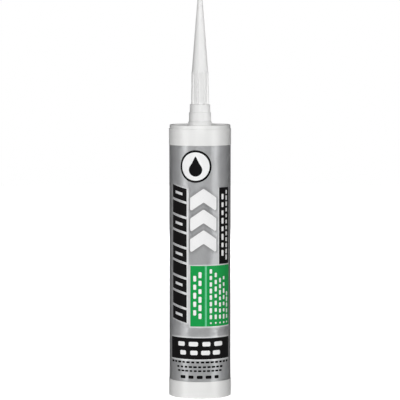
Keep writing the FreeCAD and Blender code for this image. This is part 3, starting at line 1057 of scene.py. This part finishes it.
def words_tree():
    """Geometry Nodes: rows of bars, bent round the label, that stand for lines of wording.

    Each guide edge is a row, and its bar_height attribute sets the height of its bars.
    """
    sizes = {
        "Pitch": 2.5,
        "Shortest": 0.58,
        "Longest": 0.88,
        "Seed": 4,
        "Label Radius": 0.025,
        "Base Radius": 0.025,
        "Thickness": 0.00005,
    }
    tree, given, result = shape_tree("Word bars", sizes)
    tall = add(tree, "GeometryNodeInputNamedAttribute", {"Name": "bar_height"}, data_type="FLOAT")
    pitch = calc(tree, "MULTIPLY", tall, given["Pitch"])
    rows = add(tree, "GeometryNodeMeshToCurve", {"Mesh": given["Geometry"]})
    spaced = {"Curve": rows, "Length": pitch}
    places = add(tree, "GeometryNodeResampleCurve", spaced, mode="LENGTH")
    course = {"Vector": add(tree, "GeometryNodeInputTangent")}
    facing = add(tree, "FunctionNodeAlignEulerToVector", course, axis="X", pivot_axis="Y")
    limits = {2: given["Shortest"], 3: given["Longest"], "Seed": given["Seed"]}
    long = add(tree, "FunctionNodeRandomValue", limits, data_type="FLOAT").outputs[1]
    fine_box = {"Size": (1.0, 1.0, 1.0), "Vertices X": 9, "Vertices Z": 3}
    block = add(tree, "GeometryNodeMeshCube", fine_box)
    flat = parts_of_place(tree)
    at_end = calc(tree, "GREATER_THAN", calc(tree, "ABSOLUTE", flat["X"]), 0.45)
    pinch = calc(tree, "MULTIPLY_ADD", at_end, -0.35, 1.0)
    soft_z = calc(tree, "MULTIPLY", flat["Z"], pinch)
    softened = vector(tree, flat["X"], calc(tree, "SUBTRACT", flat["Y"], 0.5), soft_z)
    soft_bar = add(tree, "GeometryNodeSetPosition", {"Geometry": block, "Position": softened})
    spread = {
        "Points": places,
        "Instance": soft_bar,
        "Rotation": facing,
        "Scale": vector(tree, calc(tree, "MULTIPLY", long, pitch), 1.0, tall),
    }
    placed = add(tree, "GeometryNodeInstanceOnPoints", spread)
    real = add(tree, "GeometryNodeRealizeInstances", {"Geometry": placed})
    laid = parts_of_place(tree)
    angle = calc(tree, "DIVIDE", calc(tree, "MULTIPLY", laid["X"], MM), given["Label Radius"])
    lift = calc(tree, "MULTIPLY", laid["Y"], -1.0)
    reach = calc(tree, "MULTIPLY_ADD", lift, given["Thickness"], given["Base Radius"])
    round_x = calc(tree, "MULTIPLY", reach, calc(tree, "SINE", angle))
    inward = calc(tree, "MULTIPLY", reach, calc(tree, "COSINE", angle))
    round_y = calc(tree, "MULTIPLY", inward, -1.0)
    place = vector(tree, round_x, round_y, calc(tree, "MULTIPLY", laid["Z"], MM))
    bent = add(tree, "GeometryNodeSetPosition", {"Geometry": real, "Position": place})
    return finish_shape(tree, given, result, bent)


def parts_of_place(tree):
    """The three parts of each point's place."""
    return add(tree, "ShaderNodeSeparateXYZ", {0: add(tree, "GeometryNodeInputPosition")}).outputs


def word_guides(rows):
    """Mesh of guide edges from (start, end, bar height) rows in millimetres."""
    mesh = bpy.data.meshes.new("rows")
    points = []
    edges = []
    heights = []
    for start, end, height in rows:
        edges.append((len(points), len(points) + 1))
        points += [(start[0], 0.0, start[1]), (end[0], 0.0, end[1])]
        heights += [height, height]
    mesh.from_pydata(points, edges, [])
    attribute = mesh.attributes.new("bar_height", "FLOAT", "POINT")
    attribute.data.foreach_set("value", heights)
    return mesh


def upright_row(left, right, start, end):
    """Row of bars that runs up the label between two sides."""
    middle = (left + right) / 2
    inset = ROW_INSET * (right - left)
    return (middle, start + inset), (middle, end - inset), right - left


def level_row(left, right, start, end):
    """Row of bars that runs round the label between two heights."""
    middle = (start + end) / 2
    inset = ROW_INSET * (end - start)
    return (left + inset, middle), (right - inset, middle), end - start


class CAULK_OT_print(bpy.types.Operator):
    """Printed fields of the label, and the bars that stand for its wording"""

    bl_idname = "caulk.print"
    bl_label = "Print"

    def execute(self, context):
        size = settings().label
        lower = ink_base(0)
        upper = ink_base(1)
        black = film("Black ink", size.black, (0.009, 0.009, 0.009), 0.3, 0.38, 0.0, 0.04)
        white = film("White ink", size.white, (0.78, 0.78, 0.78), 0.4, 0.42, 0.0, 0.3)
        green = film("Green ink", size.green, (0.006, 0.32, 0.07), 0.35, 0.38, 0.0, 0.12)
        light_green = film("Light green ink", size.light_green, (0.3, 0.6, 0.35), 0.3, 0.34)
        light = film("Light silver ink", size.light, (0.75, 0.75, 0.75), 0.3, 0.34, 0.2)
        wide_left = GREEN_MIDDLE + GREEN_RULE
        black_fields = [
            disc(BADGE_AROUND, BADGE_UP, BADGE_RADIUS),
            bar(LOWER_LEFT, LOWER_RIGHT, LOWER_START, LOWER_END),
            bar(STRIP_LEFT, STRIP_RIGHT, STRIP_START, STRIP_END),
        ]
        black_fields += block_column()
        add_print("black_fields", black_fields, lower, size.ink, black, ["print_black"])
        green_fields = [
            bar(GREEN_LEFT, GREEN_MIDDLE, GREEN_START, GREEN_END),
            bar(wide_left, GREEN_RIGHT, GREEN_START, GREEN_END),
        ]
        add_print("green_fields", green_fields, lower, size.ink, green, ["print_green"])
        crisp = 0.1
        rule = [bar(GREEN_MIDDLE, wide_left, GREEN_START, GREEN_END, crisp)]
        add_print("green_rule", rule, lower - 0.01 * MM, size.ink, light_green)
        white_fields = [
            disc(BADGE_AROUND, BADGE_UP, BADGE_RADIUS - BADGE_LINE),
            drop(BADGE_AROUND, BADGE_UP - DROP_LOWER, DROP_RADIUS),
        ]
        white_fields += chevrons()
        add_print("white_fields", white_fields, upper, size.ink, white, ["print_white"])
        light_lines = block_column(0.55, False)
        light_lines += [
            bar(LOWER_LEFT - 0.3, LOWER_RIGHT + 0.3, LOWER_END, LOWER_END + 1.0, crisp),
            bar(LOWER_LEFT - 0.3, LOWER_RIGHT + 0.3, LOWER_START - 1.0, LOWER_START, crisp),
            bar(GREEN_LEFT - 0.8, GREEN_RIGHT + 0.4, GREEN_START - 1.0, GREEN_START, crisp),
            bar(GREEN_LEFT - 0.8, GREEN_RIGHT + 0.4, GREEN_END, GREEN_END + 0.8, crisp),
            bar(GREEN_LEFT - 0.8, GREEN_LEFT, GREEN_START, GREEN_END, crisp),
            bar(STRIP_LEFT - 1.0, STRIP_LEFT, STRIP_START, STRIP_END, crisp),
            bar(BLOCKS_RIGHT + 0.7, BLOCKS_RIGHT + 1.6, BLOCKS_START, BLOCKS_END - 3.0, crisp),
        ]
        thin = 0.02 * MM
        add_print("light_lines", light_lines, LABEL_R + thin, thin, light)
        values = {
            "Seed": size.words_seed,
            "Label Radius": LABEL_R,
            "Base Radius": upper,
            "Thickness": size.ink,
            "Material": white,
        }
        tree = words_tree()
        rows = [upright_row(*row) for row in UPRIGHT_ROWS]
        rows += [level_row(*row) for row in LEVEL_ROWS]
        bars = grown(tree, values, word_guides(rows))
        add_piece("white_words", bars, white, "barrel")
        bullets = [disc(around, BULLETS_UP, BULLET_RADIUS, 16) for around in BULLETS_AROUND]
        add_print("white_bullets", bullets, upper, size.ink, white)
        values["Base Radius"] = lower
        values["Material"] = black
        bars = grown(tree, values, word_guides([level_row(*row) for row in BLACK_ROWS]))
        add_piece("black_words", bars, black, "barrel")
        return {"FINISHED"}


def area_light(name, place, target, size_x, size_y, watts, glossy=True, matt=True):
    """Rectangular lamp, unseen by the camera, that may leave out glossy or matt surfaces."""
    lamp = bpy.data.lights.new(name, "AREA")
    lamp.shape = "RECTANGLE"
    lamp.size = size_x
    lamp.size_y = size_y
    lamp.energy = watts
    holder = bpy.data.objects.new(name, lamp)
    holder.location = place
    aim = Vector(target) - Vector(place)
    holder.rotation_euler = aim.to_track_quat("-Z", "Y").to_euler()
    holder.visible_camera = False
    holder.visible_glossy = glossy
    holder.visible_diffuse = matt
    bpy.context.scene.collection.objects.link(holder)
    return holder


def lit_by_fill():
    """Collection of the only pieces that the fill light meets."""
    name = "Lit by the fill light"
    return bpy.data.collections.get(name) or bpy.data.collections.new(name)


def seen_directly(tree):
    """1 for rays of the camera, mirrors and glass, and 0 for light on matt surfaces."""
    path = add(tree, "ShaderNodeLightPath").outputs
    mirrored = calc(tree, "MAXIMUM", path["Is Glossy Ray"], path["Is Transmission Ray"])
    return calc(tree, "MAXIMUM", path["Is Camera Ray"], mirrored)


def stage_piece(name, made, material, hidden):
    """Part of the stage, from a bmesh, that some kinds of rays don't meet."""
    mesh = bpy.data.meshes.new(name)
    made.to_mesh(mesh)
    made.free()
    mesh.materials.append(material)
    piece = bpy.data.objects.new(name, mesh)
    bpy.context.scene.collection.objects.link(piece)
    for rays in hidden:
        setattr(piece, "visible_" + rays, False)


def show(tree, shader):
    """Puts a shader on a material's surface."""
    tree.links.new(output(shader), tree.nodes["Material Output"].inputs["Surface"])


def make_floor():
    """Pale floor: it keeps the contact shadow near the tube and is clear from underneath."""
    made = bmesh.new()
    bmesh.ops.create_circle(made, cap_ends=True, segments=96, radius=2.5)
    bmesh.ops.translate(made, verts=made.verts, vec=(0.0, 0.0, -0.1 * MM))
    material, tree = node_material("Pale floor")
    matt = tree.nodes["Principled BSDF"]
    matt.inputs["Base Color"].default_value = (0.8, 0.8, 0.8, 1.0)
    matt.inputs["Roughness"].default_value = 0.9
    place = add(tree, "ShaderNodeTexCoord").outputs["Object"]
    away = add(tree, "ShaderNodeVectorMath", {0: place}, operation="LENGTH").outputs["Value"]
    whiter = eased(tree, away, 0.03, 0.22, 0.64, 1.0)
    strength = calc(tree, "MULTIPLY", whiter, seen_directly(tree))
    glow = add(tree, "ShaderNodeEmission", {"Strength": strength})
    top = add(tree, "ShaderNodeAddShader", {0: matt, 1: glow})
    clear = add(tree, "ShaderNodeBsdfTransparent")
    underneath = add(tree, "ShaderNodeNewGeometry").outputs["Backfacing"]
    show(tree, add(tree, "ShaderNodeMixShader", {0: underneath, 1: top, 2: clear}))
    stage_piece("floor", made, material, ("glossy", "shadow"))


def make_surround(level):
    """Dim curved card behind the tube, which only glossy surfaces mirror."""
    made = bmesh.new()
    radius = 0.9
    foot = -0.6
    head = 1.2
    steps = 48
    uprights = []
    for step in range(steps + 1):
        angle = math.radians(-10 + 200 * step / steps)
        x = radius * math.cos(angle)
        y = radius * math.sin(angle)
        uprights.append((made.verts.new((x, y, foot)), made.verts.new((x, y, head))))
    for (low, high), (next_low, next_high) in zip(uprights, uprights[1:]):
        made.faces.new((low, next_low, next_high, high))
    material, tree = node_material("Dim card")
    place = add(tree, "ShaderNodeTexCoord").outputs["Object"]
    depth = add(tree, "ShaderNodeSeparateXYZ", {0: place}).outputs["Y"]
    fading = {"Value": depth, "From Min": 0.1, "From Max": 0.8, "To Min": level, "To Max": 0.02}
    dim = add(tree, "ShaderNodeMapRange", fading)
    show(tree, add(tree, "ShaderNodeEmission", {"Strength": dim}))
    stage_piece("surround", made, material, ("camera", "diffuse", "shadow"))


def make_world(ambient):
    """White background for the camera and dim light from all round on the tube."""
    world = bpy.data.worlds.new("Studio")
    bpy.context.scene.world = world
    world.use_nodes = True
    tree = world.node_tree
    strength = calc(tree, "MAXIMUM", seen_directly(tree), ambient)
    background = tree.nodes["Background"]
    background.inputs["Color"].default_value = (1.0, 1.0, 1.0, 1.0)
    tree.links.new(strength, background.inputs["Strength"])


class CAULK_OT_stage(bpy.types.Operator):
    """Camera, pale floor, white background and soft studio lights"""

    bl_idname = "caulk.stage"
    bl_label = "Stage"

    def execute(self, context):
        stage = settings().stage
        scene = context.scene
        lens = bpy.data.cameras.new("camera")
        lens.lens = stage.camera_lens
        lens.sensor_width = 36.0
        camera = bpy.data.objects.new("camera", lens)
        camera.location = (0.0, -stage.camera_distance, stage.camera_height)
        camera.rotation_euler = (math.pi / 2 - stage.camera_dip, 0.0, 0.0)
        scene.collection.objects.link(camera)
        scene.camera = camera
        scene.view_settings.view_transform = "Standard"
        middle = (0.0, 0.0, 0.15)
        area_light("key", (-0.1, -3.0, 1.4), middle, 1.5, 1.1, stage.key)
        for side in (-1, 1):
            angle = math.radians(57) * side
            distance = 1.1
            place = (distance * math.sin(angle), -distance * math.cos(angle), 0.15)
            area_light("strip", place, middle, 0.44, 1.1, stage.strips, matt=False)
            place = (0.5 * side, 1.4, 0.2)
            area_light("back", place, middle, 0.6, 0.6, stage.back, glossy=False)
        area_light("below", (0.0, 0.0, -1.0), middle, 0.8, 0.8, stage.below, glossy=False)
        high = (0.0, 0.0, 0.27)
        fill = area_light("fill", (0.9, 0.0, 0.27), high, 0.3, 0.3, stage.nozzle_fill, glossy=False)
        fill.light_linking.receiver_collection = lit_by_fill()
        make_floor()
        make_surround(stage.surround)
        make_world(stage.ambient)
        return {"FINISHED"}


class CaulkTubeSettings(bpy.types.PropertyGroup):
    """All the sizes and colours of the caulk tube."""

    barrel: PointerProperty(type=BarrelSettings, name="Barrel")
    nozzle: PointerProperty(type=NozzleSettings, name="Nozzle")
    plunger: PointerProperty(type=PlungerSettings, name="Plunger")
    filling: PointerProperty(type=FillingSettings, name="Filling")
    label: PointerProperty(type=LabelSettings, name="Label")
    stage: PointerProperty(type=StageSettings, name="Stage")


OPERATORS = (
    CAULK_OT_stage,
    CAULK_OT_barrel,
    CAULK_OT_nozzle,
    CAULK_OT_plunger,
    CAULK_OT_filling,
    CAULK_OT_label,
    CAULK_OT_print,
)


class CAULK_PT_pieces(bpy.types.Panel):
    """Lists the tube's pieces and their settings"""

    bl_idname = "CAULK_PT_pieces"
    bl_label = "Caulk Tube"
    bl_space_type = "VIEW_3D"
    bl_region_type = "UI"
    bl_category = "Caulk Tube"

    def draw(self, context):
        for operator in OPERATORS:
            self.layout.operator(operator.bl_idname)
        for group in ("barrel", "nozzle", "plunger", "filling", "label", "stage"):
            box = self.layout.box()
            values = getattr(context.scene.caulk_tube, group)
            for name in values.bl_rna.properties.keys():
                if name not in ("rna_type", "name"):
                    box.prop(values, name)


CLASSES = (
    BarrelSettings,
    NozzleSettings,
    PlungerSettings,
    FillingSettings,
    LabelSettings,
    StageSettings,
    CaulkTubeSettings,
    *OPERATORS,
    CAULK_PT_pieces,
)


def register():
    for item in CLASSES:
        bpy.utils.register_class(item)
    bpy.types.Scene.caulk_tube = PointerProperty(type=CaulkTubeSettings)


def unregister():
    del bpy.types.Scene.caulk_tube
    for item in reversed(CLASSES):
        bpy.utils.unregister_class(item)


def main():
    """Builds the stage and every piece."""
    register()
    bpy.ops.caulk.stage()
    bpy.ops.caulk.barrel()
    bpy.ops.caulk.nozzle()
    bpy.ops.caulk.plunger()
    bpy.ops.caulk.filling()
    bpy.ops.caulk.label()
    bpy.ops.caulk.print()


if __name__ == "__main__":
    main()
